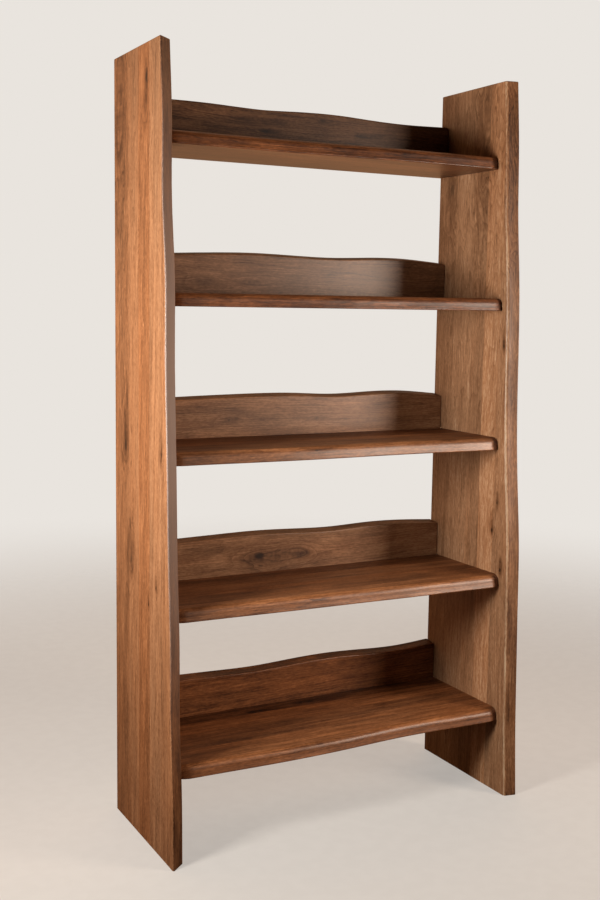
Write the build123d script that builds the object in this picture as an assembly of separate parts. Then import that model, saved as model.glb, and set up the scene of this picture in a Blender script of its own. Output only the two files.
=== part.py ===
from build123d import *
import math
import os

# Open bookcase of solid hardwood. Two upright slabs with a natural front edge carry five shelves,
# and each shelf has a low rail with a natural top edge standing along its back.
# X runs to the right, Y from the front to the back and Z up. The origin is on the floor, in the
# middle of the bounding box. Sizes are in millimetres, and shelves are counted from the floor up.

# Overall
width = 1000.0
height = 1900.0
foot_depth = 390.0

# Side slabs. The waves are how far the live edge stands out from a straight taper, at even steps
# from the floor up. The bevel is how far the inner arris lies behind the outer one.
side_thickness = 36.0
left_top_depth = 303.0
left_bevel = 31.0
left_waves = (0.0, 3.4, -2.0, 3.3, -0.4, 0.2, 0.9, 2.1, 8.6, -1.5, 5.7, 0.0)
right_top_depth = 292.0
right_bevel = 7.0
right_waves = (0.0, -0.8, 2.8, 7.0, 10.8, 4.0, 1.8, 6.6, 8.3, 2.7, 4.3, 0.0)
side_outer_round = 3.0
side_inner_round = 9.0
side_top_round = 2.5

# Shelves. The waves are added to a shelf's depth, at even steps from left to right. The shelves are
# spread evenly between the gap under the lowest and the gap over the highest.
shelf_thickness = 32.0
floor_gap = 200.0
top_gap = 192.0
shelf_depths = (350.0, 330.0, 306.0, 300.0, 268.0)
shelf_waves = (
    (4.0, 7.0, 8.0, 2.0, -8.0, -7.0, -3.0),
    (-9.0, -6.0, -2.0, 0.0, 3.0, 5.0, 6.0),
    (-6.0, -1.0, 4.0, 2.0, -2.0, 1.0, 6.0),
    (-9.0, -8.0, -3.0, 2.0, 3.0, 6.0, 9.0),
    (-6.0, -8.0, -6.0, -2.0, 6.0, 7.0, 5.0),
)
shelf_top_round = 14.0
shelf_bottom_round = 3.0
shelf_corner_radius = 54.0
shelf_corner_turn = 33.0

# Back rails. The waves are added to the rail's height, at even steps from left to right. The slope
# is how far the front arris of the live edge lies below the back one.
rail_thickness = 36.0
rail_height = 106.0
rail_waves = (
    (5.0, 1.0, -2.0, -4.0, 1.0, 4.0, 0.0, -3.0, 4.0),
    (-7.0, -2.0, 1.0, 3.0, 0.0, -3.0, 1.0, 0.0, -7.0),
    (-4.0, 0.0, 3.0, 5.0, 4.0, -1.0, 3.0, 3.0, -7.0),
    (-8.0, -3.0, 2.0, 4.0, 1.0, -1.0, 3.0, 3.0, -5.0),
    (3.0, 5.0, 4.0, 1.0, 5.0, 6.0, 1.0, 0.0, 3.0),
)
rail_slope = 6.0
rail_front_round = 4.0
rail_back_round = 3.0
rail_corner_round = 8.0

# Beech dowels, glued into blind bores
shelf_dowels = 3
shelf_dowel_diameter = 12.0
shelf_dowel_length = 56.0
shelf_dowel_in_side = 24.0
shelf_dowel_edge = 55.0
rail_dowel_diameter = 10.0
rail_dowel_length = 44.0
rail_dowel_in_side = 20.0
rail_dowel_edge = 28.0
foot_dowels = 4
foot_dowel_diameter = 10.0
foot_dowel_length = 44.0
foot_dowel_in_shelf = 18.0
foot_dowel_edge = 110.0
dowel_fit = 0.15
dowel_end_gap = 2.0

# A plank's live edge is shaped past both ends, by this length or, at a shelf's corner, by this much
# more turn. Then the ends are sawn.
saw_waste = 20.0
saw_turn = 18.0

# Worked out from the sizes above
inner_face = width / 2 - side_thickness
inner_width = 2 * inner_face
back_face = foot_depth / 2
rail_middle = back_face - rail_thickness / 2
shelf_corner_run = shelf_corner_radius * math.sin(math.radians(shelf_corner_turn))
shelf_corner_set = shelf_corner_radius * (1 - math.cos(math.radians(shelf_corner_turn)))
levels = range(len(shelf_depths))


def steps(first, last, count):
    """Evenly spaced values from first to last, both included."""
    return [first + (last - first) * step / (count - 1) for step in range(count)]


def shelf_top(level):
    """Height of a shelf's upper face above the floor."""
    return steps(floor_gap + shelf_thickness, height - top_gap, len(levels))[level]


def added(value, waves):
    """The waves of a live edge, added to one size."""
    return [value + wave for wave in waves]


def plank_face(length, widths, level):
    """Outline of a rough plank at one level of its thickness, with its live edge along +Y."""
    along = steps(0, length, len(widths))
    rise = saw_waste / along[1]
    first = (-saw_waste, widths[0] - rise * (widths[1] - widths[0]))
    last = (length + saw_waste, widths[-1] + rise * (widths[-1] - widths[-2]))
    edge = Spline(first, *zip(along, widths), last)
    back = Polyline(first, (-saw_waste, 0), (length + saw_waste, 0), last)
    return Pos(0, 0, level) * make_face([edge, back])


def live_line(plank, side):
    """The live edge line on a plank's near face (side 0) or far face (side -1)."""
    face = plank.faces().sort_by(Axis.Z)[side]
    longest = face.edges().sort_by(SortBy.LENGTH)[-2:]
    return longest.sort_by(Axis.Y)[-1]


def eased(plank, near_round, far_round):
    """A plank with both arrises of its live edge rounded."""
    plank = fillet(live_line(plank, 0), near_round)
    return fillet(live_line(plank, -1), far_round)


def sawn(rough, length):
    """A rough plank with its ends cut off square, at X 0 and at its length."""
    box = rough.bounding_box()
    keep = Box(length, 2 * box.size.Y, 2 * box.size.Z, align=(Align.MIN, Align.CENTER, Align.CENTER))
    return rough & Pos(0, box.center().Y, box.center().Z) * keep


def live_plank(length, thickness, near_widths, far_widths):
    """Rough plank along X, its back at Y 0, with a bevelled live edge along +Y.

    The near face lies at Z 0 and the far face at Z thickness, each with its own live edge line.
    """
    near = plank_face(length, near_widths, 0)
    far = plank_face(length, far_widths, thickness)
    return loft([near, far], ruled=True)


def side_slab(near_widths, far_widths, near_round, far_round, near_face):
    """Upright slab whose near face lies at X near_face, with its live edge towards the front."""
    rough = live_plank(height, side_thickness, near_widths, far_widths)
    slab = sawn(eased(rough, near_round, far_round), height)
    top_edges = slab.faces().sort_by(Axis.X)[-1].edges()
    slab = fillet(top_edges, side_top_round)
    return Plane(origin=(near_face, back_face, 0), x_dir=(0, 0, 1), z_dir=(1, 0, 0)) * slab


def side_widths(top_depth, waves, bevel):
    """Depth of a slab's outer arris before it is rounded, at even steps from the floor up."""
    slant = math.atan2(bevel, side_thickness)
    rounded_off = side_outer_round * (math.tan(slant) + 1 / math.cos(slant) - 1)
    taper = steps(foot_depth + rounded_off, top_depth + rounded_off, len(waves))
    return [depth + wave for depth, wave in zip(taper, waves)]


def shelf_board(level):
    """Shelf with a live front edge, softened where it meets the slabs and rounded above."""
    widths = added(shelf_depths[level], shelf_waves[level])
    along = steps(shelf_corner_run, inner_width - shelf_corner_run, len(widths))
    edge = Spline(*zip(along, widths), tangents=[(1, 0), (1, 0)])
    turn = shelf_corner_turn + saw_turn
    left_corner = JernArc(edge @ 0, (-1, 0), shelf_corner_radius, turn)
    left_waste = JernArc(left_corner @ 1, left_corner % 1, shelf_corner_radius, -turn)
    right_corner = JernArc(edge @ 1, (1, 0), shelf_corner_radius, -turn)
    right_waste = JernArc(right_corner @ 1, right_corner % 1, shelf_corner_radius, turn)
    left_end = left_waste @ 1
    right_end = right_waste @ 1
    back = Polyline(left_end, (left_end.X, 0), (right_end.X, 0), right_end)
    outline = make_face([edge, left_corner, left_waste, right_corner, right_waste, back])
    rough = extrude(outline, shelf_thickness, dir=(0, 0, 1))
    board = sawn(eased(rough, shelf_top_round, shelf_bottom_round), inner_width)
    place = Plane(origin=(-inner_face, back_face, shelf_top(level)), x_dir=(1, 0, 0), z_dir=(0, 0, -1))
    return place * board


def back_rail(level):
    """Rail standing on a shelf, flush with the back of the slabs, with a live top edge."""
    back_heights = added(rail_height, rail_waves[level])
    front_heights = added(-rail_slope, back_heights)
    rail = sawn(live_plank(inner_width, rail_thickness, back_heights, front_heights), inner_width)
    end_edges = rail.edges().filter_by(GeomType.BSPLINE).sort_by(Axis.Z)[1:3]
    rail = eased(fillet(end_edges, rail_corner_round), rail_back_round, rail_front_round)
    place = Plane(origin=(-inner_face, back_face, shelf_top(level)), x_dir=(1, 0, 0), z_dir=(0, -1, 0))
    return place * rail


def dowel_row(mouths, direction, diameter, length, seat):
    """A row of dowels and their bores, each sunk by its seat below the mouth, against the direction."""
    on_end = (Align.CENTER, Align.CENTER, Align.MIN)
    rod = Cylinder(diameter / 2, length, align=on_end)
    bore = Cylinder(diameter / 2 + dowel_fit, length + dowel_end_gap, align=on_end)
    places = [Plane(origin=mouth, z_dir=direction).location * Pos(0, 0, -seat) for mouth in mouths]
    return [place * rod for place in places], [place * bore for place in places]


def shelf_end_dowels(level, end):
    """Dowels from a slab into a shelf's end; end is 0 at the left and -1 at the right."""
    face = inner_face if end else -inner_face
    end_depth = shelf_depths[level] + shelf_waves[level][end] - shelf_corner_set
    middle = shelf_top(level) - shelf_thickness / 2
    rows = steps(shelf_dowel_edge, end_depth - shelf_dowel_edge, shelf_dowels)
    mouths = [(face, back_face - row, middle) for row in rows]
    inward = (-1, 0, 0) if end else (1, 0, 0)
    return dowel_row(mouths, inward, shelf_dowel_diameter, shelf_dowel_length, shelf_dowel_in_side)


def rail_end_dowels(level, end):
    """Dowels from a slab into a rail's end; end is 0 at the left and -1 at the right."""
    face = inner_face if end else -inner_face
    end_height = rail_height + rail_waves[level][end] - rail_slope
    heights = (rail_dowel_edge, end_height - rail_dowel_edge)
    mouths = [(face, rail_middle, shelf_top(level) + rise) for rise in heights]
    inward = (-1, 0, 0) if end else (1, 0, 0)
    return dowel_row(mouths, inward, rail_dowel_diameter, rail_dowel_length, rail_dowel_in_side)


def rail_foot_dowels(level):
    """Dowels from a shelf up into the foot of its rail."""
    reach = inner_face - foot_dowel_edge
    mouths = [(across, rail_middle, shelf_top(level)) for across in steps(-reach, reach, foot_dowels)]
    return dowel_row(mouths, (0, 0, 1), foot_dowel_diameter, foot_dowel_length, foot_dowel_in_shelf)


def save(node, *solids):
    """Write one named piece, or one group of equal pieces."""
    shape = solids[0] if len(solids) == 1 else Compound(children=list(solids))
    export_step(shape, f"parts/{node}.step")


os.makedirs("parts", exist_ok=True)
left_outer = side_widths(left_top_depth, left_waves, left_bevel)
left_inner = added(-left_bevel, left_outer)
right_outer = side_widths(right_top_depth, right_waves, right_bevel)
right_inner = added(-right_bevel, right_outer)
slabs = {
    "left": side_slab(left_outer, left_inner, side_outer_round, side_inner_round, -width / 2),
    "right": side_slab(right_inner, right_outer, side_inner_round, side_outer_round, inner_face),
}

for level in levels:
    number = level + 1
    shelf = shelf_board(level)
    rail = back_rail(level)
    for side, end in (("left", 0), ("right", -1)):
        dowels, bores = shelf_end_dowels(level, end)
        save(f"shelf_{number}_{side}_dowels", *dowels)
        shelf -= bores
        slabs[side] -= bores
        dowels, bores = rail_end_dowels(level, end)
        save(f"rail_{number}_{side}_dowels", *dowels)
        rail -= bores
        slabs[side] -= bores
    dowels, bores = rail_foot_dowels(level)
    save(f"rail_{number}_foot_dowels", *dowels)
    save(f"shelf_{number}", shelf - bores)
    save(f"back_rail_{number}", rail - bores)

for side, slab in slabs.items():
    save(f"{side}_side_slab", slab)
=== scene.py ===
import math
from collections import namedtuple

import bmesh
import bpy
from bpy.props import FloatProperty, FloatVectorProperty, PointerProperty
from mathutils import Matrix, Vector, noise


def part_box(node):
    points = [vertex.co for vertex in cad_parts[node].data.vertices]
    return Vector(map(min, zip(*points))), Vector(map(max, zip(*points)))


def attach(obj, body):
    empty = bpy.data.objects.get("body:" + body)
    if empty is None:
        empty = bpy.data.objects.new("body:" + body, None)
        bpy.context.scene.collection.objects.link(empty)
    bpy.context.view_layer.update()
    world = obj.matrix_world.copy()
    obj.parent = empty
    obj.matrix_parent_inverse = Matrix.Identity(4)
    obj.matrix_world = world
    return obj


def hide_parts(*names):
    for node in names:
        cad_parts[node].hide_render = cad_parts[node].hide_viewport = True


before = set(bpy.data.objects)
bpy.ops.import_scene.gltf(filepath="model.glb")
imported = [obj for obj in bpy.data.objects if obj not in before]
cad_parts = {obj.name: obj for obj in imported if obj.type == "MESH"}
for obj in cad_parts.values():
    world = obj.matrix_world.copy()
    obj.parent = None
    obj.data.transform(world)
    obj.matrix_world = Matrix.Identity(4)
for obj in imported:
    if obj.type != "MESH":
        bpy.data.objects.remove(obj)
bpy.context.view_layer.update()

bl_info = {
    "name": "Live-edge bookcase",
    "version": (1, 0, 0),
    "blender": (4, 5, 0),
    "location": "View3D > Sidebar > Bookcase",
    "description": "Dresses an open bookcase of solid hardwood with its natural edges and its grain",
    "category": "Object",
}

MILLIMETRE = 0.001

# The image's long side in pixels, the sensor's in millimetres, and how far the camera sees in metres
IMAGE_LONG_SIDE = 900.0
SENSOR = 36.0
FAR_CLIP = 50.0

# Corners of a CAD mesh that lie closer than this are one corner
MERGE = 0.00001

# A face belongs to the live edge while it faces outwards by more than this share
LIVE_TURN = 0.03

# Edges that turn by more degrees than this stay crisp, and shading follows the large faces by this weight
SHARP_TURN = 40
FACE_WEIGHT = 100

# A drawknife's hollow: its middle depth, what long strokes add, what short ones add, and how much
# shorter those are
DIP_MIDDLE = 0.5
DIP_LONG = 0.5
DIP_SHORT = 0.25
SHORT_STROKES = 3.0

# Axes of a board: along its grain, across its broad face and through its thickness
Axes = namedtuple("Axes", "along across depth")
UPRIGHT = Axes("Z", "Y", "X")
LYING = Axes("X", "Y", "Z")
STANDING = Axes("X", "Z", "Y")

# A stave of a glued-up board runs from its edge, in millimetres across the grain, to the next one's.
# Tone is how much lighter it is than the rest, and warmth how red it is, from 0 to 1.
Stave = namedtuple("Stave", "edge tone warmth")

# A knot's place along the grain, across it and through the board, and its radius, in millimetres.
# Heart is how dark its core is, from 0 to 1. Lean is 1 where its tail runs onwards along the grain, or -1.
# Smoke is how dark the wood about it is, from 0 to 1.
Knot = namedtuple("Knot", "along across depth radius heart lean smoke", defaults=(1, 1.0))

# A board's tone, how strongly its live edge is painted with the grey from under the bark as a painted sheen,
# from 0 to 1, its staves, its knots, and how strong the painted highlight on its arris is beside those of
# its kind
Board = namedtuple("Board", "tone edge staves knots rub", defaults=(1.0,))

# A kind of board: its slot and axes; the way its live edge faces, how far that edge leans back, in
# millimetres, and how much darker it is; the way the arris with a painted highlight faces and how much
# paler that painted highlight makes it; its lacquer with its roughness; how long its streaks and how strong
# its figure are; and the number that the first board's grain starts from, with the step to the next board's
Kind = namedtuple("Kind", "slot axes outward lean shade arris rub lacquer roughness run figure seed step")
FRONT = Vector((0, -1, 0))
ABOVE = Vector((0, 0, 1))
FRONT_LEFT = Vector((-1, -1, 0)).normalized()
FRONT_ABOVE = Vector((0, -1, 1)).normalized()
SLAB = Kind(
    slot="side_hardwood", axes=UPRIGHT, outward=FRONT, lean=0.0, shade=-0.18, arris=FRONT_LEFT, rub=0.13,
    lacquer=0.45, roughness=0.33, run=0.4, figure=0.65, seed=3.0, step=5.3)
SHELF = Kind(
    slot="shelf_hardwood", axes=LYING, outward=FRONT, lean=4.0, shade=-0.04, arris=FRONT_ABOVE, rub=0.05,
    lacquer=0.80, roughness=0.40, run=0.9, figure=1.1, seed=21.0, step=4.7)
RAIL = Kind(
    slot="rail_hardwood", axes=STANDING, outward=ABOVE, lean=0.0, shade=-0.14, arris=FRONT_ABOVE, rub=0.12,
    lacquer=0.45, roughness=0.33, run=0.7, figure=1.0, seed=53.0, step=6.1)

SLABS = {
    "left_side_slab": Board(
        tone=0.06,
        edge=0.90,
        staves=(
            Stave(-200, 0.03, 0.38),
            Stave(-118, 0.06, 0.34),
            Stave(-44, -0.02, 0.66),
            Stave(28, 0.04, 0.45),
            Stave(98, -0.03, 0.50),
        ),
        knots=(
            Knot(1823, -26, -500, 16, 0.9, -1),
            Knot(1815, 150, -500, 48, 0.0, -1, 0.9),
            Knot(968, 121, -500, 20, 0.9),
            Knot(690, 81, -500, 20, 0.5),
            Knot(651, -86, -500, 7, 0.9),
            Knot(599, -36, -500, 6, 0.9),
            Knot(969, -118, -500, 7, 0.9),
        ),
    ),
    "right_side_slab": Board(
        tone=0.16,
        edge=0.10,
        staves=(
            Stave(-200, 0.03, 0.20),
            Stave(-100, 0.10, 0.35),
            Stave(-33, -0.02, 0.15),
            Stave(25, 0.02, 0.00),
            Stave(110, -0.02, 0.05),
        ),
        knots=(
            Knot(1640, 136, 464, 24, 0.5, -1, 0.8),
            Knot(1815, -135, 472, 50, 0.0, -1),
            Knot(1840, -20, 464, 60, 0.0, -1, 0.8),
            Knot(794, -114, 464, 6, 0.9),
            Knot(717, -96, 464, 9, 0.9),
            Knot(615, -137, 464, 8, 0.9),
            Knot(1215, -120, 464, 7, 0.9),
        ),
        # The right slab's arris carries the strongest painted highlight
        rub=2.4,
    ),
}

SHELVES = {
    "shelf_1": Board(
        tone=-0.02,
        edge=0.10,
        staves=(
            Stave(-200, 0.03, 0.70),
            Stave(-62, -0.02, 0.65),
            Stave(34, 0.03, 0.75),
            Stave(104, -0.12, 0.60),
        ),
        knots=(Knot(-147, 118, 232, 9, 0.9), Knot(33, 128, 232, 12, 0.9)),
    ),
    "shelf_2": Board(
        tone=-0.02,
        edge=0.10,
        staves=(
            Stave(-200, 0.05, 0.60),
            Stave(-88, -0.03, 0.65),
            Stave(12, 0.04, 0.50),
            Stave(92, -0.05, 0.55),
        ),
        knots=(Knot(26, -137, 594, 5, 0.9), Knot(-97, -135, 594, 6, 0.9)),
    ),
    "shelf_3": Board(
        tone=-0.02,
        edge=0.10,
        staves=(Stave(-200, 0.03, 0.55), Stave(-50, 0.03, 0.50), Stave(40, -0.05, 0.50)),
        knots=(Knot(-89, -110, 960, 7, 0.6, 1, 0.7), Knot(300, -100, 960, 6, 0.6, 1, 0.7)),
    ),
    "shelf_4": Board(
        tone=-0.08,
        edge=0.10,
        staves=(Stave(-200, -0.02, 0.90), Stave(-60, 0.03, 0.70), Stave(55, -0.03, 0.65)),
        knots=(Knot(-32, -96, 1326, 7, 0.5, 1, 0.7), Knot(-330, -90, 1326, 6, 0.5, 1, 0.7)),
    ),
    "shelf_5": Board(
        tone=-0.07,
        edge=0.10,
        staves=(Stave(-200, -0.02, 0.90), Stave(-10, 0.03, 0.70), Stave(80, -0.03, 0.65)),
        knots=(Knot(-20, -72, 1694, 8, 0.6, 1, 0.7), Knot(167, -75, 1694, 6, 0.6, 1, 0.7)),
    ),
}

RAILS = {
    "back_rail_1": Board(tone=-0.07, edge=0.08, staves=(Stave(200, 0.0, 0.75),), knots=()),
    "back_rail_2": Board(
        tone=0.08,
        edge=0.08,
        staves=(Stave(570, 0.0, 0.15),),
        knots=(Knot(-111, 645, 159, 22, 0.9), Knot(20, 641, 159, 13, 0.3, -1)),
    ),
    "back_rail_3": Board(
        tone=0.06,
        edge=0.08,
        staves=(Stave(940, 0.0, 0.17),),
        knots=(Knot(-204, 1015, 159, 7, 0.5, 1, 0.6), Knot(57, 1012, 159, 5, 0.5, 1, 0.6)),
    ),
    "back_rail_4": Board(
        tone=0.00,
        edge=0.08,
        staves=(Stave(1310, 0.0, 0.08),),
        knots=(Knot(-287, 1368, 159, 11, 0.1, 1, 0.4), Knot(-148, 1372, 159, 7, 0.3, 1, 0.5)),
    ),
    "back_rail_5": Board(
        tone=-0.11,
        edge=0.08,
        staves=(Stave(1680, 0.0, 0.10),),
        knots=(Knot(178, 1767, 159, 5, 0.6), Knot(58, 1796, 159, 4, 0.6), Knot(-108, 1756, 159, 6, 0.5)),
    ),
}

# A pattern of the grain: its length and width in millimetres, how much finer detail it holds, a number
# that sets it apart from the others, and its share in what it changes
Streak = namedtuple("Streak", "along across detail seed share")

# These bend the grain, with their shares in metres
DRIFT = Streak(520, 90, 2.0, 0.0, 0.036)
WOBBLE = Streak(75, 18, 2.0, 3.1, 0.007)

# These tear the cores of knots, with a least share that keeps them from spreading, and make their stain
# uneven
RAGGED = Streak(16, 8, 2.0, 1.3, 2.6)
RAGGED_LEAST = 0.4
UNEVEN = Streak(110, 28, 0.0, 2.2, 1.5)

# These change the tone. The real fibres and pores are finer, and are drawn this coarse so that they show.
BROAD = Streak(380, 58, 2.0, 7.7, 0.28)
MOTTLE = Streak(95, 28, 2.0, 20.6, 0.25)
VEIN = Streak(420, 10, 3.0, 11.9, 0.14)
LINE = Streak(300, 3.2, 3.0, 14.2, 0.34)
FIBRE = Streak(120, 2.4, 2.0, 17.3, 0.36)
PORE = Streak(11, 3.4, 2.0, 27.4, 0.34)

# A fleck shows where its pattern rises through this band
FLECK = Streak(60, 3.6, 1.0, 23.9, -0.13)
FLECK_BAND = (0.66, 0.76)

# A dark fleck of the beech has this share of its colour, and shows below this band
BEECH_FLECK = Streak(12, 1.2, 2.0, 5.0, 0.75)
BEECH_BAND = (0.35, 0.6)
BEECH_ROUGHNESS = 0.6

# How far a pattern's number moves it along the grain, across it and through it, and how rough it is
SEED_MOVES = (1.0, 1.7, 2.3)
STREAK_ROUGHNESS = 0.55

# A knot's eye: its width over its length, what the tail takes from that, its width over its depth, and
# how fast it fades
EYE_LENGTH = 0.30
EYE_TAIL = 0.11
EYE_DEPTH = 0.8
EYE_FADE = 0.42

# A knot's core: its width over its length and its depth, and the band in which it frays
CORE_LENGTH = 0.6
CORE_DEPTH = 0.8
CORE_BAND = (0.03, 0.26)

# A knot bends the grain and swells the rings by these shares, and smokes the wood by this tone, which
# fades by this power
KNOT_BEND = -0.8
KNOT_SWELL = 0.9
SMOKE_TONE = -0.24
SMOKE_FADE = 2.5

# Staves are told apart over this width, and each takes its grain from up to this far away, both in metres.
# The step says how much of that way each goes beyond the one before it.
STAVE_SPAN = 0.5
STAVE_SHIFT = 0.6
STAVE_STEP = 0.37

# The pith lies this far from the next one's and this deep, both in metres, and climbs by this slope
PITH_APART = 0.17
PITH_DEPTH = 0.055
PITH_CLIMB = 0.014

# Late wood of a ring: how sharply it sets in, its tone, and what a knot adds to that
LATE_POWER = 3.0
LATE_TONE = -0.07
LATE_AT_KNOT = -0.10

# A sawn end, with its tone, a live edge and the painted highlight on an arris set in as a face turns through
# these shares
END_TURN = (0.7, 0.95)
END_TONE = -0.24
EDGE_TURN = (0.3, 0.8)
HIGHLIGHT_TURN = (0.87, 0.97)

# A live edge is painted with the grey from under the bark as a painted sheen about this place along the
# grain, in metres, which is elbow height on a slab, and less and less up to this far from it
SHEEN_AT = 1.1
SHEEN_REACH = 0.95

# Where the five colours of the wood stand on the scale of tones, and the two casts on that of warmth,
# which broad streaks change by a share
TONE_STOPS = (0.08, 0.30, 0.52, 0.74, 0.95)
CAST_STOPS = (0.1, 0.9)
CAST_BROAD = 0.5

# What fibres and streaks do to the roughness, and to the relief with its strength and its depth in metres
ROUGH_FIBRE = -0.10
ROUGH_BROAD = 0.08
RELIEF_FIBRE = 0.6
RELIEF_VEIN = 0.5
RELIEF_STRENGTH = 0.25
RELIEF_DEPTH = 0.0004

# Wood under satin lacquer, and what is left of that lacquer on faces that look up
WOOD_IOR = 1.5
WOOD_SPECULAR = 0.06
UPPER_TURN = (0.75, 0.97)
UPPER_LACQUER = 0.05

# A Mix node has five sockets for numbers and vectors between its share and its colours, and two outputs
# before that of the mixed colour
BEFORE_COLOURS = (None,) * 5
MIXED_COLOUR = 2

# A softbox: its place, what it looks at, its size in metres, the spread of its beam in degrees and its
# colour
Softbox = namedtuple("Softbox", "place target size spread colour")
LEFT_SOFTBOX = Softbox((-1.7, -0.55, 1.22), (-0.5, 0.0, 1.22), (0.35, 0.6), 150, (1.0, 0.96, 0.90))
RIGHT_SOFTBOX = Softbox((1.82, -1.94, 1.28), (0.0, 0.16, 1.15), (0.85, 1.0), 100, (1.0, 0.84, 0.70))

# The floor: its radius and its corners, where it fades out, its roughness, the share of its colour that
# the lamps light, and its speckle, in millimetres, with its detail, its share of the colour and its band
FLOOR_RADIUS = 9.0
FLOOR_CORNERS = 96
FLOOR_FADE = (1.2, 4.5)
FLOOR_ROUGHNESS = 0.75
FLOOR_LIT = 0.5
SPECKLE_SIZE = 40
SPECKLE_DETAIL = 3.0
SPECKLE_DIM = 0.97
SPECKLE_BAND = (0.4, 0.6)

# The soft light turns from the front's strength to the rear's, and from low to high, between these shares
REAR_TURN = (-0.2, 0.6)
HIGH_TURN = (-0.1, 0.5)


def linear(code):
    """An sRGB hex colour as linear red, green and blue, by the numbers of that standard."""
    shares = [int(code[place:place + 2], 16) / 255 for place in (1, 3, 5)]
    return tuple(share / 12.92 if share <= 0.04045 else ((share + 0.055) / 1.055) ** 2.4 for share in shares)


class BookcaseWood(bpy.types.PropertyGroup):
    """Colours and grain of the hardwood and the beech."""

    darkest: FloatVectorProperty(
        name="Vein", description="Dark veins, knots and late wood", subtype="COLOR",
        default=linear("#23120a"))
    dark: FloatVectorProperty(
        name="Heart", description="Dark heartwood", subtype="COLOR", default=linear("#543520"))
    middle: FloatVectorProperty(
        name="Body", description="Body of the wood", subtype="COLOR", default=linear("#885f40"))
    light: FloatVectorProperty(
        name="Pale", description="Pale streaks", subtype="COLOR", default=linear("#b78963"))
    lightest: FloatVectorProperty(
        name="Sap", description="Palest streaks", subtype="COLOR", default=linear("#e2c29e"))
    red: FloatVectorProperty(
        name="Red cast", description="Tint of the warmest staves", subtype="COLOR",
        default=linear("#ffe0c4"))
    grey: FloatVectorProperty(
        name="Grey cast", description="Tint of the coolest staves", subtype="COLOR",
        default=linear("#dfe0e5"))
    # This grey also colours the painted sheen on live edges
    bark: FloatVectorProperty(
        name="Live edge", description="Grey cast of the wood from under the bark", subtype="COLOR",
        default=linear("#9a8880"))
    beech: FloatVectorProperty(
        name="Beech", description="Colour of the raw beech dowels", subtype="COLOR",
        default=linear("#c89d74"))
    ring: FloatProperty(
        name="Ring spacing", description="From one growth ring to the next", unit="LENGTH", default=0.0085)
    fibre: FloatProperty(
        name="Fibre width", description="Width of the finest streaks", unit="LENGTH",
        default=FIBRE.across * MILLIMETRE)
    vein: FloatProperty(
        name="Vein width", description="Width of the colour streaks", unit="LENGTH",
        default=VEIN.across * MILLIMETRE)
    gloss: FloatProperty(
        name="Roughness", description="Roughness of the wood under the lacquer", subtype="FACTOR",
        default=0.50)


class BookcaseEdge(bpy.types.PropertyGroup):
    """How the live edges were worked by hand."""

    step: FloatProperty(
        name="Mesh step", description="From one edge loop to the next along a board", unit="LENGTH",
        default=0.012)
    ridge: FloatProperty(
        name="Edge step", description="From one edge loop to the next across a live edge", unit="LENGTH",
        default=0.006)
    hollow: FloatProperty(
        name="Hollow depth", description="How deep the drawknife went", unit="LENGTH", default=0.0016)
    blend: FloatProperty(
        name="Blend", description="Where the hollows run out, from a board's face", unit="LENGTH",
        default=0.012)
    stroke: FloatProperty(
        name="Stroke length", description="Length of one stroke of the drawknife", unit="LENGTH",
        default=0.110)


class BookcaseStage(bpy.types.PropertyGroup):
    """Camera, lamps and floor."""

    eye: FloatVectorProperty(
        name="Eye", description="Place of the camera", subtype="TRANSLATION", unit="LENGTH",
        default=(-1.4773, -2.6320, 1.3107))
    pan: FloatProperty(
        name="Pan", description="Turn to the right", subtype="ANGLE", default=math.radians(28.005))
    tilt: FloatProperty(
        name="Tilt", description="Turn upwards", subtype="ANGLE", default=math.radians(-6.928))
    roll: FloatProperty(
        name="Roll", description="Turn about the line of sight", subtype="ANGLE",
        default=math.radians(0.847))
    focal: FloatProperty(
        name="Focal length", description="In pixels of the image", default=1180.42)
    floor: FloatVectorProperty(
        name="Floor", description="Colour of the floor", subtype="COLOR", default=linear("#cfcac4"))
    sky: FloatVectorProperty(
        name="Surround", description="Colour of the surround", subtype="COLOR", default=linear("#e9e4de"))
    key_power: FloatProperty(
        name="Key", description="Power of the softbox on the left", unit="POWER", default=31.5)
    fill_power: FloatProperty(
        name="Fill", description="Power of the softbox on the right", unit="POWER", default=24.0)
    sky_front: FloatProperty(
        name="Front sky", description="Strength of the soft light from the front", default=0.03)
    sky_rear: FloatProperty(
        name="Rear sky", description="Strength of the soft light from behind", default=0.74)
    glow: FloatVectorProperty(
        name="Sky", description="Colour of the soft light from above", subtype="COLOR",
        default=linear("#ffd0a6"))
    glow_low: FloatVectorProperty(
        name="Low sky", description="Colour of the soft light from low down", subtype="COLOR",
        default=linear("#ffbd8a"))
    floor_bounce: FloatVectorProperty(
        name="Floor bounce", description="Colour of the floor in the light that it throws back",
        subtype="COLOR", default=linear("#3a2315"))
    floor_glow: FloatProperty(
        name="Floor lift", description="How much the floor is lifted to a pale tone for the camera",
        default=0.66)


def per_metre(size):
    """Scale of a pattern whose features have this size in millimetres."""
    return 1 / (size * MILLIMETRE)


def add(tree, kind, *links, out=0, stops=(), **settings):
    """Adds a node with its settings, feeds its inputs in order and returns one output.

    Stops are the places and colours of a colour ramp.
    """
    made = tree.nodes.new(kind)
    for name, value in settings.items():
        setattr(made, name, value)
    band = made.color_ramp.elements if stops else ()
    while len(band) < len(stops):
        band.new(1.0)
    for stop, (place, colour) in zip(band, stops):
        stop.position = place
        stop.color = (*colour, 1.0)
    for place, value in enumerate(links):
        if value is None:
            continue
        if isinstance(value, bpy.types.NodeSocket):
            tree.links.new(value, made.inputs[place])
        else:
            made.inputs[place].default_value = value
    return made.outputs[out] if made.outputs else None


def new_material(name):
    """An empty node material, and its tree."""
    material = bpy.data.materials.new(name)
    material.use_nodes = True
    material.node_tree.nodes.clear()
    return material, material.node_tree


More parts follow.
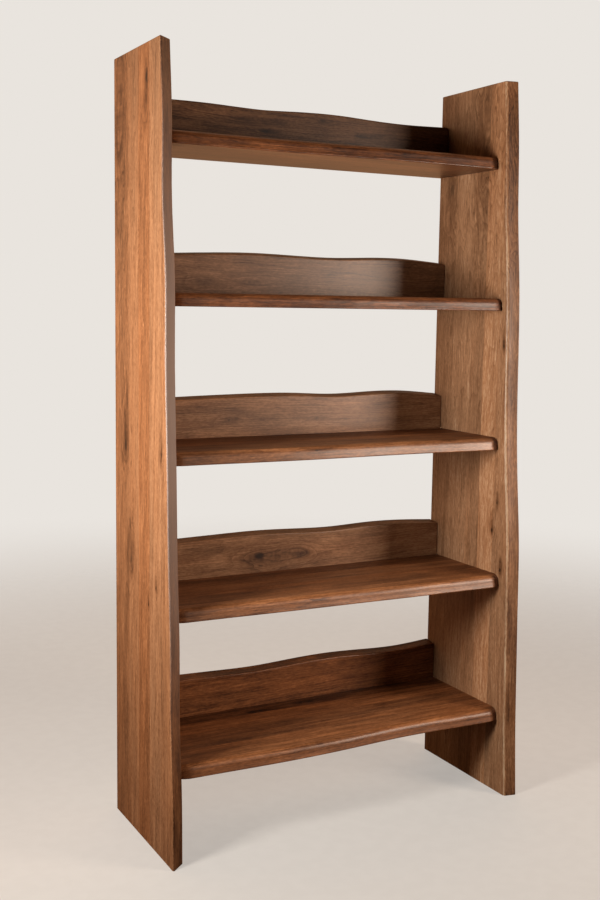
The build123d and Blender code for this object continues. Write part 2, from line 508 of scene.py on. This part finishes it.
def wood_space(tree, axes):
    """The three coordinates of a board: along the grain, across it and through the thickness."""
    place = add(tree, "ShaderNodeTexCoord", out="Object")
    split = add(tree, "ShaderNodeSeparateXYZ", place).node
    return [split.outputs[axis] for axis in axes]


def streaks(tree, space, pattern, seed, run=1.0):
    """Noise drawn out along the grain as its pattern says, and by its run beyond that."""
    size = (per_metre(pattern.along * run), per_metre(pattern.across), per_metre(pattern.across))
    stretched = add(tree, "ShaderNodeVectorMath", space, size, operation="MULTIPLY")
    apart = [share * (seed + pattern.seed) for share in SEED_MOVES]
    moved = add(tree, "ShaderNodeVectorMath", stretched, apart, operation="ADD")
    return add(tree, "ShaderNodeTexNoise", moved, None, 1.0, pattern.detail, STREAK_ROUGHNESS)


def mixed(tree, base, *shares):
    """A base value with several patterns added, each a pair of its socket and its weight about 0.5."""
    total = base
    for pattern, weight in shares:
        centred = add(tree, "ShaderNodeMath", pattern, 0.5, operation="SUBTRACT")
        total = add(tree, "ShaderNodeMath", centred, weight, total, operation="MULTIPLY_ADD")
    return total


def knot_field(tree, along, across, depth, ragged, uneven, knots):
    """What knots do to a board: how far they push the grain aside and swell it, their stain and cores."""
    push, swell, stain, core = 0.0, 0.0, 0.0, 0.0
    for knot in knots:
        reach = knot.radius * MILLIMETRE
        off_along = add(tree, "ShaderNodeMath", along, knot.along * MILLIMETRE, operation="SUBTRACT")
        off_across = add(tree, "ShaderNodeMath", across, knot.across * MILLIMETRE, operation="SUBTRACT")
        off_depth = add(tree, "ShaderNodeMath", depth, knot.depth * MILLIMETRE, operation="SUBTRACT")
        offset = add(tree, "ShaderNodeCombineXYZ", off_along, off_across, off_depth)

        # The branch leans up the trunk, so the eye has a longer tail on that side
        ahead = add(tree, "ShaderNodeMath", off_along, operation="SIGN")
        squeeze = add(
            tree, "ShaderNodeMath", ahead, -EYE_TAIL * knot.lean, EYE_LENGTH, operation="MULTIPLY_ADD")
        squeeze = add(tree, "ShaderNodeCombineXYZ", squeeze, 1.0, EYE_DEPTH)
        eye = add(tree, "ShaderNodeVectorMath", offset, squeeze, operation="MULTIPLY")
        eye = add(tree, "ShaderNodeVectorMath", eye, (1 / reach, 1 / reach, 1 / reach), operation="MULTIPLY")
        square = add(tree, "ShaderNodeVectorMath", eye, eye, operation="DOT_PRODUCT", out="Value")
        square = add(tree, "ShaderNodeMath", square, uneven, operation="MULTIPLY")
        spread = add(tree, "ShaderNodeMath", square, -EYE_FADE, operation="MULTIPLY")
        near = add(tree, "ShaderNodeMath", spread, operation="EXPONENT")
        push = add(tree, "ShaderNodeMath", near, off_across, push, operation="MULTIPLY_ADD")
        swell = add(tree, "ShaderNodeMath", near, reach, swell, operation="MULTIPLY_ADD")
        dark = add(tree, "ShaderNodeMath", near, knot.smoke, operation="MULTIPLY")
        stain = add(tree, "ShaderNodeMath", stain, dark, operation="MAXIMUM")

        # The core frays into the wood about it
        shrink = (CORE_LENGTH / reach, 1 / reach, CORE_DEPTH / reach)
        heart = add(tree, "ShaderNodeVectorMath", offset, shrink, operation="MULTIPLY")
        torn = add(tree, "ShaderNodeVectorMath", heart, heart, operation="DOT_PRODUCT", out="Value")
        torn = add(tree, "ShaderNodeMath", torn, ragged, operation="MULTIPLY")
        heart = add(
            tree, "ShaderNodeMapRange", torn, *CORE_BAND, 1.0, 0.0, interpolation_type="SMOOTHSTEP")
        heart = add(tree, "ShaderNodeMath", heart, knot.heart, operation="MULTIPLY")
        core = add(tree, "ShaderNodeMath", core, heart, operation="MAXIMUM")
    return push, swell, stain, core


def stave_field(tree, across, staves):
    """Tone, warmth and a random number for the stave that lies at each place across a board."""
    low = staves[0].edge * MILLIMETRE
    place = add(tree, "ShaderNodeMapRange", across, low, low + STAVE_SPAN)
    stops = []
    for number, stave in enumerate(staves):
        share = (stave.edge * MILLIMETRE - low) / STAVE_SPAN
        stops.append((share, (0.5 + stave.tone, stave.warmth, (STAVE_STEP * number) % 1)))
    colour = add(tree, "ShaderNodeValToRGB", place, stops=stops)
    colour.node.color_ramp.interpolation = "CONSTANT"
    return add(tree, "ShaderNodeSeparateColor", colour).node.outputs


def hardwood(name, kind, board, seed):
    """Walnut-toned acacia, planed, sanded and lacquered satin.

    It gives the eye long red-brown streaks with dark veins, arched growth rings that swim round the
    knots, seams between the glued staves, and a soft sheen that lies on top of it all. A painted highlight
    lies along one arris, and a painted sheen greys the live edge about mid height.
    """
    wood = bpy.context.scene.bookcase_wood
    material, tree = new_material(name)
    along, across, depth = wood_space(tree, kind.axes)
    tone, warmth, shift = stave_field(tree, across, board.staves)

    # The grain drifts and wobbles along a board, and swims round its knots
    flat = add(tree, "ShaderNodeCombineXYZ", along, across, depth)
    ragged = mixed(tree, 1.0, (streaks(tree, flat, RAGGED, seed), RAGGED.share))
    ragged = add(tree, "ShaderNodeMath", ragged, RAGGED_LEAST, operation="MAXIMUM")
    uneven = mixed(tree, 1.0, (streaks(tree, flat, UNEVEN, seed), UNEVEN.share))
    push, swell, stain, core = knot_field(tree, along, across, depth, ragged, uneven, board.knots)
    drift = streaks(tree, flat, DRIFT, seed)
    wobble = streaks(tree, flat, WOBBLE, seed)
    bent = mixed(tree, across, (drift, DRIFT.share), (wobble, WOBBLE.share))
    bent = add(tree, "ShaderNodeMath", push, KNOT_BEND, bent, operation="MULTIPLY_ADD")
    bent = add(tree, "ShaderNodeMath", shift, STAVE_SHIFT, bent, operation="MULTIPLY_ADD")
    space = add(tree, "ShaderNodeCombineXYZ", along, bent, depth)

    # Growth rings lie round a pith that runs a little askew under the broad face
    beside = add(tree, "ShaderNodeMath", bent, PITH_APART, operation="PINGPONG")
    under = add(tree, "ShaderNodeMath", depth, PITH_DEPTH, operation="ADD")
    from_pith = add(tree, "ShaderNodeCombineXYZ", beside, under, 0.0)
    radius = add(tree, "ShaderNodeVectorMath", from_pith, operation="LENGTH", out="Value")
    radius = add(tree, "ShaderNodeMath", along, PITH_CLIMB, radius, operation="MULTIPLY_ADD")
    radius = add(tree, "ShaderNodeMath", swell, KNOT_SWELL, radius, operation="MULTIPLY_ADD")
    turns = add(tree, "ShaderNodeMath", radius, 1 / wood.ring, operation="MULTIPLY")
    year = add(tree, "ShaderNodeMath", turns, operation="FRACT")
    late = add(tree, "ShaderNodeMath", year, LATE_POWER, operation="POWER")
    lines = add(tree, "ShaderNodeMath", stain, LATE_AT_KNOT, LATE_TONE, operation="MULTIPLY_ADD")

    # Streaks of all widths make up the tone, and rings, the smoke of knots and flecks darken it
    broad = streaks(tree, space, BROAD, seed)
    mottle = streaks(tree, space, MOTTLE, seed)
    vein = streaks(tree, space, VEIN._replace(across=wood.vein / MILLIMETRE), seed, kind.run)
    line = streaks(tree, space, LINE, seed, kind.run)
    fibre = streaks(tree, space, FIBRE._replace(across=wood.fibre / MILLIMETRE), seed, kind.run)
    pore = streaks(tree, space, PORE, seed)
    value = mixed(
        tree, 0.5 + board.tone, (tone, 1.0), (broad, BROAD.share * kind.figure),
        (mottle, MOTTLE.share * kind.figure), (vein, VEIN.share * kind.figure), (line, LINE.share),
        (fibre, FIBRE.share), (pore, PORE.share))
    value = add(tree, "ShaderNodeMath", late, lines, value, operation="MULTIPLY_ADD")
    smoke = add(tree, "ShaderNodeMath", stain, SMOKE_FADE, operation="POWER")
    value = add(tree, "ShaderNodeMath", smoke, SMOKE_TONE, value, operation="MULTIPLY_ADD")
    fleck = streaks(tree, space, FLECK, seed, kind.run)
    fleck = add(tree, "ShaderNodeMapRange", fleck, *FLECK_BAND)
    value = add(tree, "ShaderNodeMath", fleck, FLECK.share, value, operation="MULTIPLY_ADD")

    # Sawn ends drink more of the finish, and a live edge keeps the dark wood from under the bark
    facing = add(tree, "ShaderNodeNewGeometry", out="Normal")
    facing_axes = add(tree, "ShaderNodeSeparateXYZ", facing).node.outputs
    end = add(tree, "ShaderNodeMath", facing_axes[kind.axes.along], operation="ABSOLUTE")
    end = add(tree, "ShaderNodeMapRange", end, *END_TURN, 0.0, END_TONE)
    value = add(tree, "ShaderNodeMath", value, end, operation="ADD")
    live = add(tree, "ShaderNodeVectorMath", facing, kind.outward, operation="DOT_PRODUCT", out="Value")
    live = add(tree, "ShaderNodeMapRange", live, *EDGE_TURN)
    shade = add(tree, "ShaderNodeMath", live, uneven, operation="MULTIPLY")
    value = add(tree, "ShaderNodeMath", shade, kind.shade, value, operation="MULTIPLY_ADD")
    # Painted sheen: the live edge turns grey about mid height, and less and less above and below
    sheen_band = add(tree, "ShaderNodeMath", along, SHEEN_AT, operation="SUBTRACT")
    sheen_band = add(tree, "ShaderNodeMath", sheen_band, operation="ABSOLUTE")
    sheen_band = add(
        tree, "ShaderNodeMapRange", sheen_band, 0.0, SHEEN_REACH, board.edge, 0.0, interpolation_type="SMOOTHSTEP")
    grey = add(tree, "ShaderNodeMath", live, sheen_band, operation="MULTIPLY")

    # One arris of each board is painted paler: a painted highlight along it
    arris_highlight = add(tree, "ShaderNodeVectorMath", facing, kind.arris, operation="DOT_PRODUCT", out="Value")
    arris_highlight = add(
        tree, "ShaderNodeMapRange", arris_highlight, *HIGHLIGHT_TURN, 0.0, kind.rub * board.rub,
        interpolation_type="SMOOTHSTEP")
    value = add(tree, "ShaderNodeMath", value, arris_highlight, operation="ADD")

    # Tones become colours, with the cast of each stave, the grey of the painted sheen on live edges and dark
    # in the knots
    colours = (wood.darkest, wood.dark, wood.middle, wood.light, wood.lightest)
    colour = add(tree, "ShaderNodeValToRGB", value, stops=list(zip(TONE_STOPS, colours)))
    cast = mixed(tree, warmth, (broad, CAST_BROAD))
    tint = add(tree, "ShaderNodeValToRGB", cast, stops=list(zip(CAST_STOPS, (wood.grey, wood.red))))
    colour = add(
        tree, "ShaderNodeMix", 1.0, *BEFORE_COLOURS, colour, tint, data_type="RGBA", blend_type="MULTIPLY",
        out=MIXED_COLOUR)
    colour = add(
        tree, "ShaderNodeMix", grey, *BEFORE_COLOURS, colour, (*wood.bark, 1.0), data_type="RGBA",
        out=MIXED_COLOUR)
    colour = add(
        tree, "ShaderNodeMix", core, *BEFORE_COLOURS, colour, (*wood.darkest, 1.0), data_type="RGBA",
        out=MIXED_COLOUR)

    rough = mixed(tree, wood.gloss, (fibre, ROUGH_FIBRE), (broad, ROUGH_BROAD))
    relief = mixed(tree, 0.5, (fibre, RELIEF_FIBRE), (vein, RELIEF_VEIN))
    bump = add(tree, "ShaderNodeBump", RELIEF_STRENGTH, RELIEF_DEPTH, None, relief)
    shader = add(tree, "ShaderNodeBsdfPrincipled", colour).node
    tree.links.new(rough, shader.inputs["Roughness"])
    tree.links.new(bump, shader.inputs["Normal"])

    # What stands on the boards has rubbed their upper faces dull
    lacquer = add(tree, "ShaderNodeMapRange", facing_axes["Z"], *UPPER_TURN, kind.lacquer, UPPER_LACQUER)
    tree.links.new(lacquer, shader.inputs["Coat Weight"])
    shader.inputs["IOR"].default_value = WOOD_IOR
    shader.inputs["Specular IOR Level"].default_value = WOOD_SPECULAR
    shader.inputs["Coat Roughness"].default_value = kind.roughness
    add(tree, "ShaderNodeOutputMaterial", shader.outputs[0])
    return material


def raw_beech():
    """Raw beech, turned and sanded: pale and matt, with short darker flecks along the grain."""
    wood = bpy.context.scene.bookcase_wood
    material, tree = new_material("raw_beech")
    space = add(tree, "ShaderNodeCombineXYZ", *wood_space(tree, LYING))
    fleck = streaks(tree, space, BEECH_FLECK, 0.0)
    dark = tuple(BEECH_FLECK.share * share for share in wood.beech)
    colour = add(tree, "ShaderNodeValToRGB", fleck, stops=list(zip(BEECH_BAND, (dark, wood.beech))))
    shader = add(tree, "ShaderNodeBsdfPrincipled", colour, 0.0, BEECH_ROUGHNESS)
    add(tree, "ShaderNodeOutputMaterial", shader)
    return material


def live_faces(board, outward):
    """The faces of a board's live edge, spreading from the one that stands out furthest."""
    first = max(board.faces, key=lambda face: face.calc_center_median().dot(outward))
    found = {first}
    queue = [first]
    while queue:
        for edge in queue.pop().edges:
            for face in edge.link_faces:
                if face not in found and face.normal.dot(outward) > LIVE_TURN:
                    found.add(face)
                    queue.append(face)
    return found


def cut_loops(board, outward, axis, low, high, step):
    """Adds edge loops to the live edge at even steps along one axis, between two places."""
    normal = Vector()
    normal[axis] = 1.0
    faces = live_faces(board, outward)
    edges = {edge for face in faces for edge in face.edges}
    corners = {corner for face in faces for corner in face.verts}
    live = [*corners, *edges, *faces]
    count = max(1, round((high - low) / step))
    for number in range(1, count):
        place = normal * (low + (high - low) * number / count)
        cut = bmesh.ops.bisect_plane(board, geom=live, dist=MERGE, plane_co=place, plane_no=normal)
        live = cut["geom"]


def shape_edge(board, kind, along, depth, low, high):
    """Leans the live edge back and hollows it as a drawknife does. Nothing moves outwards."""
    edge = bpy.context.scene.bookcase_edge
    faces = live_faces(board, kind.outward)
    for corner in {corner for face in faces for corner in face.verts}:
        from_faces = min(corner.co[depth] - low[depth], high[depth] - corner.co[depth])
        from_ends = min(corner.co[along] - low[along], high[along] - corner.co[along])
        share = smooth_share(from_faces / edge.blend) * smooth_share(from_ends / edge.blend)
        spot = corner.co / edge.stroke
        dip = DIP_MIDDLE + DIP_LONG * noise.noise(spot) + DIP_SHORT * noise.noise(SHORT_STROKES * spot)
        rise = (corner.co[depth] - low[depth]) / (high[depth] - low[depth])
        inwards = kind.lean * MILLIMETRE * rise + edge.hollow * share * min(1.0, max(0.0, dip))
        corner.co -= kind.outward * inwards


def smooth_share(share):
    """Eases a share in and out, and keeps it from 0 to 1."""
    share = min(1.0, max(0.0, share))
    return share * share * (3.0 - 2.0 * share)


def make_board(node, kind, board, seed):
    """One board: the CAD solid with its live edge worked and its grain."""
    edge = bpy.context.scene.bookcase_edge
    shape = bmesh.new()
    shape.from_mesh(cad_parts[node].data)
    bmesh.ops.remove_doubles(shape, verts=shape.verts, dist=MERGE)
    low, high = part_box(node)
    along, depth = ("XYZ".index(axis) for axis in (kind.axes.along, kind.axes.depth))
    cut_loops(shape, kind.outward, along, low[along], high[along], edge.step)
    cut_loops(shape, kind.outward, depth, low[depth], high[depth], edge.ridge)
    shape_edge(shape, kind, along, depth, low, high)
    mesh = bpy.data.meshes.new(f"{node}_wood")
    shape.to_mesh(mesh)
    shape.free()
    mesh.materials.clear()
    mesh.materials.append(hardwood(f"satin_acacia_{node}", kind, board, seed))
    mesh.shade_smooth()
    mesh.set_sharp_from_angle(angle=math.radians(SHARP_TURN))
    piece = bpy.data.objects.new(f"{node}_wood", mesh)
    bpy.context.scene.collection.objects.link(piece)
    true_faces = piece.modifiers.new("true_faces", "WEIGHTED_NORMAL")
    true_faces.keep_sharp = True
    true_faces.weight = FACE_WEIGHT
    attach(piece, "root")
    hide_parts(node)


def make_boards(kind, boards):
    """All boards of a kind, each with grain of its own."""
    for number, (node, board) in enumerate(boards.items()):
        make_board(node, kind, board, kind.seed + kind.step * number)


class BOOKCASE_OT_side_slabs(bpy.types.Operator):
    """Make the two side slabs, with live front edges"""

    bl_idname = "bookcase.side_slabs"
    bl_label = "Side slabs"

    def execute(self, context):
        make_boards(SLAB, SLABS)
        return {"FINISHED"}


class BOOKCASE_OT_shelves(bpy.types.Operator):
    """Make the shelves, with live front edges"""

    bl_idname = "bookcase.shelves"
    bl_label = "Shelves"

    def execute(self, context):
        make_boards(SHELF, SHELVES)
        return {"FINISHED"}


class BOOKCASE_OT_back_rails(bpy.types.Operator):
    """Make the back rails, with live top edges"""

    bl_idname = "bookcase.back_rails"
    bl_label = "Back rails"

    def execute(self, context):
        make_boards(RAIL, RAILS)
        return {"FINISHED"}


class BOOKCASE_OT_dowels(bpy.types.Operator):
    """Give the hidden dowels their beech"""

    bl_idname = "bookcase.dowels"
    bl_label = "Dowels"

    def execute(self, context):
        beech = raw_beech()
        for node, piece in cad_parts.items():
            if node.endswith("_dowels"):
                piece.data.materials.clear()
                piece.data.materials.append(beech)
        return {"FINISHED"}


def hang_softbox(name, box, power):
    """A lamp that looks at its target, with its beam held to its spread."""
    lamp = bpy.data.lights.new(name, "AREA")
    lamp.shape = "RECTANGLE"
    lamp.size, lamp.size_y = box.size
    lamp.spread = math.radians(box.spread)
    lamp.energy = power
    lamp.color = box.colour
    stand = bpy.data.objects.new(name, lamp)
    stand.location = box.place
    stand.visible_camera = False
    stand.rotation_euler = (Vector(box.target) - Vector(box.place)).to_track_quat("-Z", "Y").to_euler()
    bpy.context.scene.collection.objects.link(stand)


class BOOKCASE_OT_stage(bpy.types.Operator):
    """Set up the floor, the lamps and the camera"""

    bl_idname = "bookcase.stage"
    bl_label = "Stage"

    def execute(self, context):
        stage = context.scene.bookcase_stage
        self.lay_floor(stage)
        hang_softbox("left_softbox", LEFT_SOFTBOX, stage.key_power)
        hang_softbox("right_softbox", RIGHT_SOFTBOX, stage.fill_power)
        self.light_world(context.scene, stage)
        self.set_camera(context.scene, stage)
        context.scene.view_settings.view_transform = "Standard"
        return {"FINISHED"}

    def lay_floor(self, stage):
        """Matt floor paint: pale to the camera, with the shadow in it, and fading into the surround."""
        material, tree = new_material("matt_floor_paint")
        place = add(tree, "ShaderNodeTexCoord", out="Object")
        speckle = add(tree, "ShaderNodeTexNoise", place, None, per_metre(SPECKLE_SIZE), SPECKLE_DETAIL)
        dim = tuple(SPECKLE_DIM * share for share in stage.floor)
        colour = add(tree, "ShaderNodeValToRGB", speckle, stops=list(zip(SPECKLE_BAND, (dim, stage.floor))))
        seen = add(tree, "ShaderNodeLightPath", out="Is Camera Ray")
        lit = tuple(FLOOR_LIT * share for share in stage.floor)
        felt = add(
            tree, "ShaderNodeMix", seen, *BEFORE_COLOURS, (*stage.floor_bounce, 1.0), (*lit, 1.0),
            data_type="RGBA", out=MIXED_COLOUR)
        paint = add(tree, "ShaderNodeBsdfPrincipled", felt, 0.0, FLOOR_ROUGHNESS)
        lift = add(tree, "ShaderNodeMath", seen, stage.floor_glow, operation="MULTIPLY")
        tree.links.new(colour, paint.node.inputs["Emission Color"])
        tree.links.new(lift, paint.node.inputs["Emission Strength"])
        reach = add(tree, "ShaderNodeVectorMath", place, operation="LENGTH", out="Value")
        fade = add(tree, "ShaderNodeMapRange", reach, *FLOOR_FADE, 0.0, 1.0, interpolation_type="SMOOTHSTEP")
        clear = add(tree, "ShaderNodeBsdfTransparent")
        shader = add(tree, "ShaderNodeMixShader", fade, paint, clear)
        add(tree, "ShaderNodeOutputMaterial", shader)
        sheet = bmesh.new()
        bmesh.ops.create_circle(sheet, cap_ends=True, segments=FLOOR_CORNERS, radius=FLOOR_RADIUS)
        mesh = bpy.data.meshes.new("floor")
        sheet.to_mesh(mesh)
        sheet.free()
        mesh.materials.append(material)
        floor = bpy.data.objects.new("floor", mesh)
        bpy.context.scene.collection.objects.link(floor)

    def light_world(self, scene, stage):
        """A pale surround for the camera, and soft warm light that comes mostly from behind."""
        world = bpy.data.worlds.new("surround")
        scene.world = world
        world.use_nodes = True
        tree = world.node_tree
        tree.nodes.clear()
        way = add(tree, "ShaderNodeTexCoord", out="Generated")
        behind = add(tree, "ShaderNodeSeparateXYZ", way, out="Y")
        soft = add(
            tree, "ShaderNodeMapRange", behind, *REAR_TURN, stage.sky_front, stage.sky_rear,
            interpolation_type="SMOOTHSTEP")
        seen = add(tree, "ShaderNodeLightPath", out="Is Camera Ray")
        backdrop = add(tree, "ShaderNodeBackground", (*stage.sky, 1.0), 1.0)
        height = add(tree, "ShaderNodeMapRange", behind.node.outputs["Z"], *HIGH_TURN)
        shade = add(tree, "ShaderNodeValToRGB", height, stops=((0.0, stage.glow_low), (1.0, stage.glow)))
        glow = add(tree, "ShaderNodeBackground", shade, soft)
        light = add(tree, "ShaderNodeMixShader", seen, glow, backdrop)
        add(tree, "ShaderNodeOutputWorld", light)

    def set_camera(self, scene, stage):
        """A camera that stands, looks and zooms as the stage says."""
        camera = bpy.data.cameras.new("camera")
        camera.sensor_width = SENSOR
        camera.lens = stage.focal * SENSOR / IMAGE_LONG_SIDE
        camera.clip_end = FAR_CLIP
        tripod = bpy.data.objects.new("camera", camera)
        turn = Matrix.Rotation(-stage.pan, 3, "Z")
        turn = turn @ Matrix.Rotation(math.pi / 2 + stage.tilt, 3, "X")
        turn = turn @ Matrix.Rotation(stage.roll, 3, "Z")
        tripod.location = stage.eye
        tripod.rotation_euler = turn.to_euler()
        scene.collection.objects.link(tripod)
        scene.camera = tripod


class BOOKCASE_PT_sidebar(bpy.types.Panel):
    """Lists what can be made, with its sizes and colours"""

    bl_idname = "BOOKCASE_PT_sidebar"
    bl_label = "Live-edge bookcase"
    bl_space_type = "VIEW_3D"
    bl_region_type = "UI"
    bl_category = "Bookcase"

    def draw(self, context):
        scene = context.scene
        for operator in OPERATORS:
            self.layout.operator(operator.bl_idname)
        for settings in (scene.bookcase_wood, scene.bookcase_edge, scene.bookcase_stage):
            box = self.layout.box()
            for name in settings.__annotations__:
                box.prop(settings, name)


OPERATORS = (
    BOOKCASE_OT_side_slabs,
    BOOKCASE_OT_shelves,
    BOOKCASE_OT_back_rails,
    BOOKCASE_OT_dowels,
    BOOKCASE_OT_stage,
)
CLASSES = (BookcaseWood, BookcaseEdge, BookcaseStage, *OPERATORS, BOOKCASE_PT_sidebar)


def register():
    for entry in CLASSES:
        bpy.utils.register_class(entry)
    bpy.types.Scene.bookcase_wood = PointerProperty(type=BookcaseWood)
    bpy.types.Scene.bookcase_edge = PointerProperty(type=BookcaseEdge)
    bpy.types.Scene.bookcase_stage = PointerProperty(type=BookcaseStage)


def unregister():
    del bpy.types.Scene.bookcase_stage
    del bpy.types.Scene.bookcase_edge
    del bpy.types.Scene.bookcase_wood
    for entry in reversed(CLASSES):
        bpy.utils.unregister_class(entry)


def main():
    """Builds the dressed bookcase and its stage."""
    register()
    bpy.ops.bookcase.side_slabs()
    bpy.ops.bookcase.shelves()
    bpy.ops.bookcase.back_rails()
    bpy.ops.bookcase.dowels()
    bpy.ops.bookcase.stage()


if __name__ == "__main__":
    main()
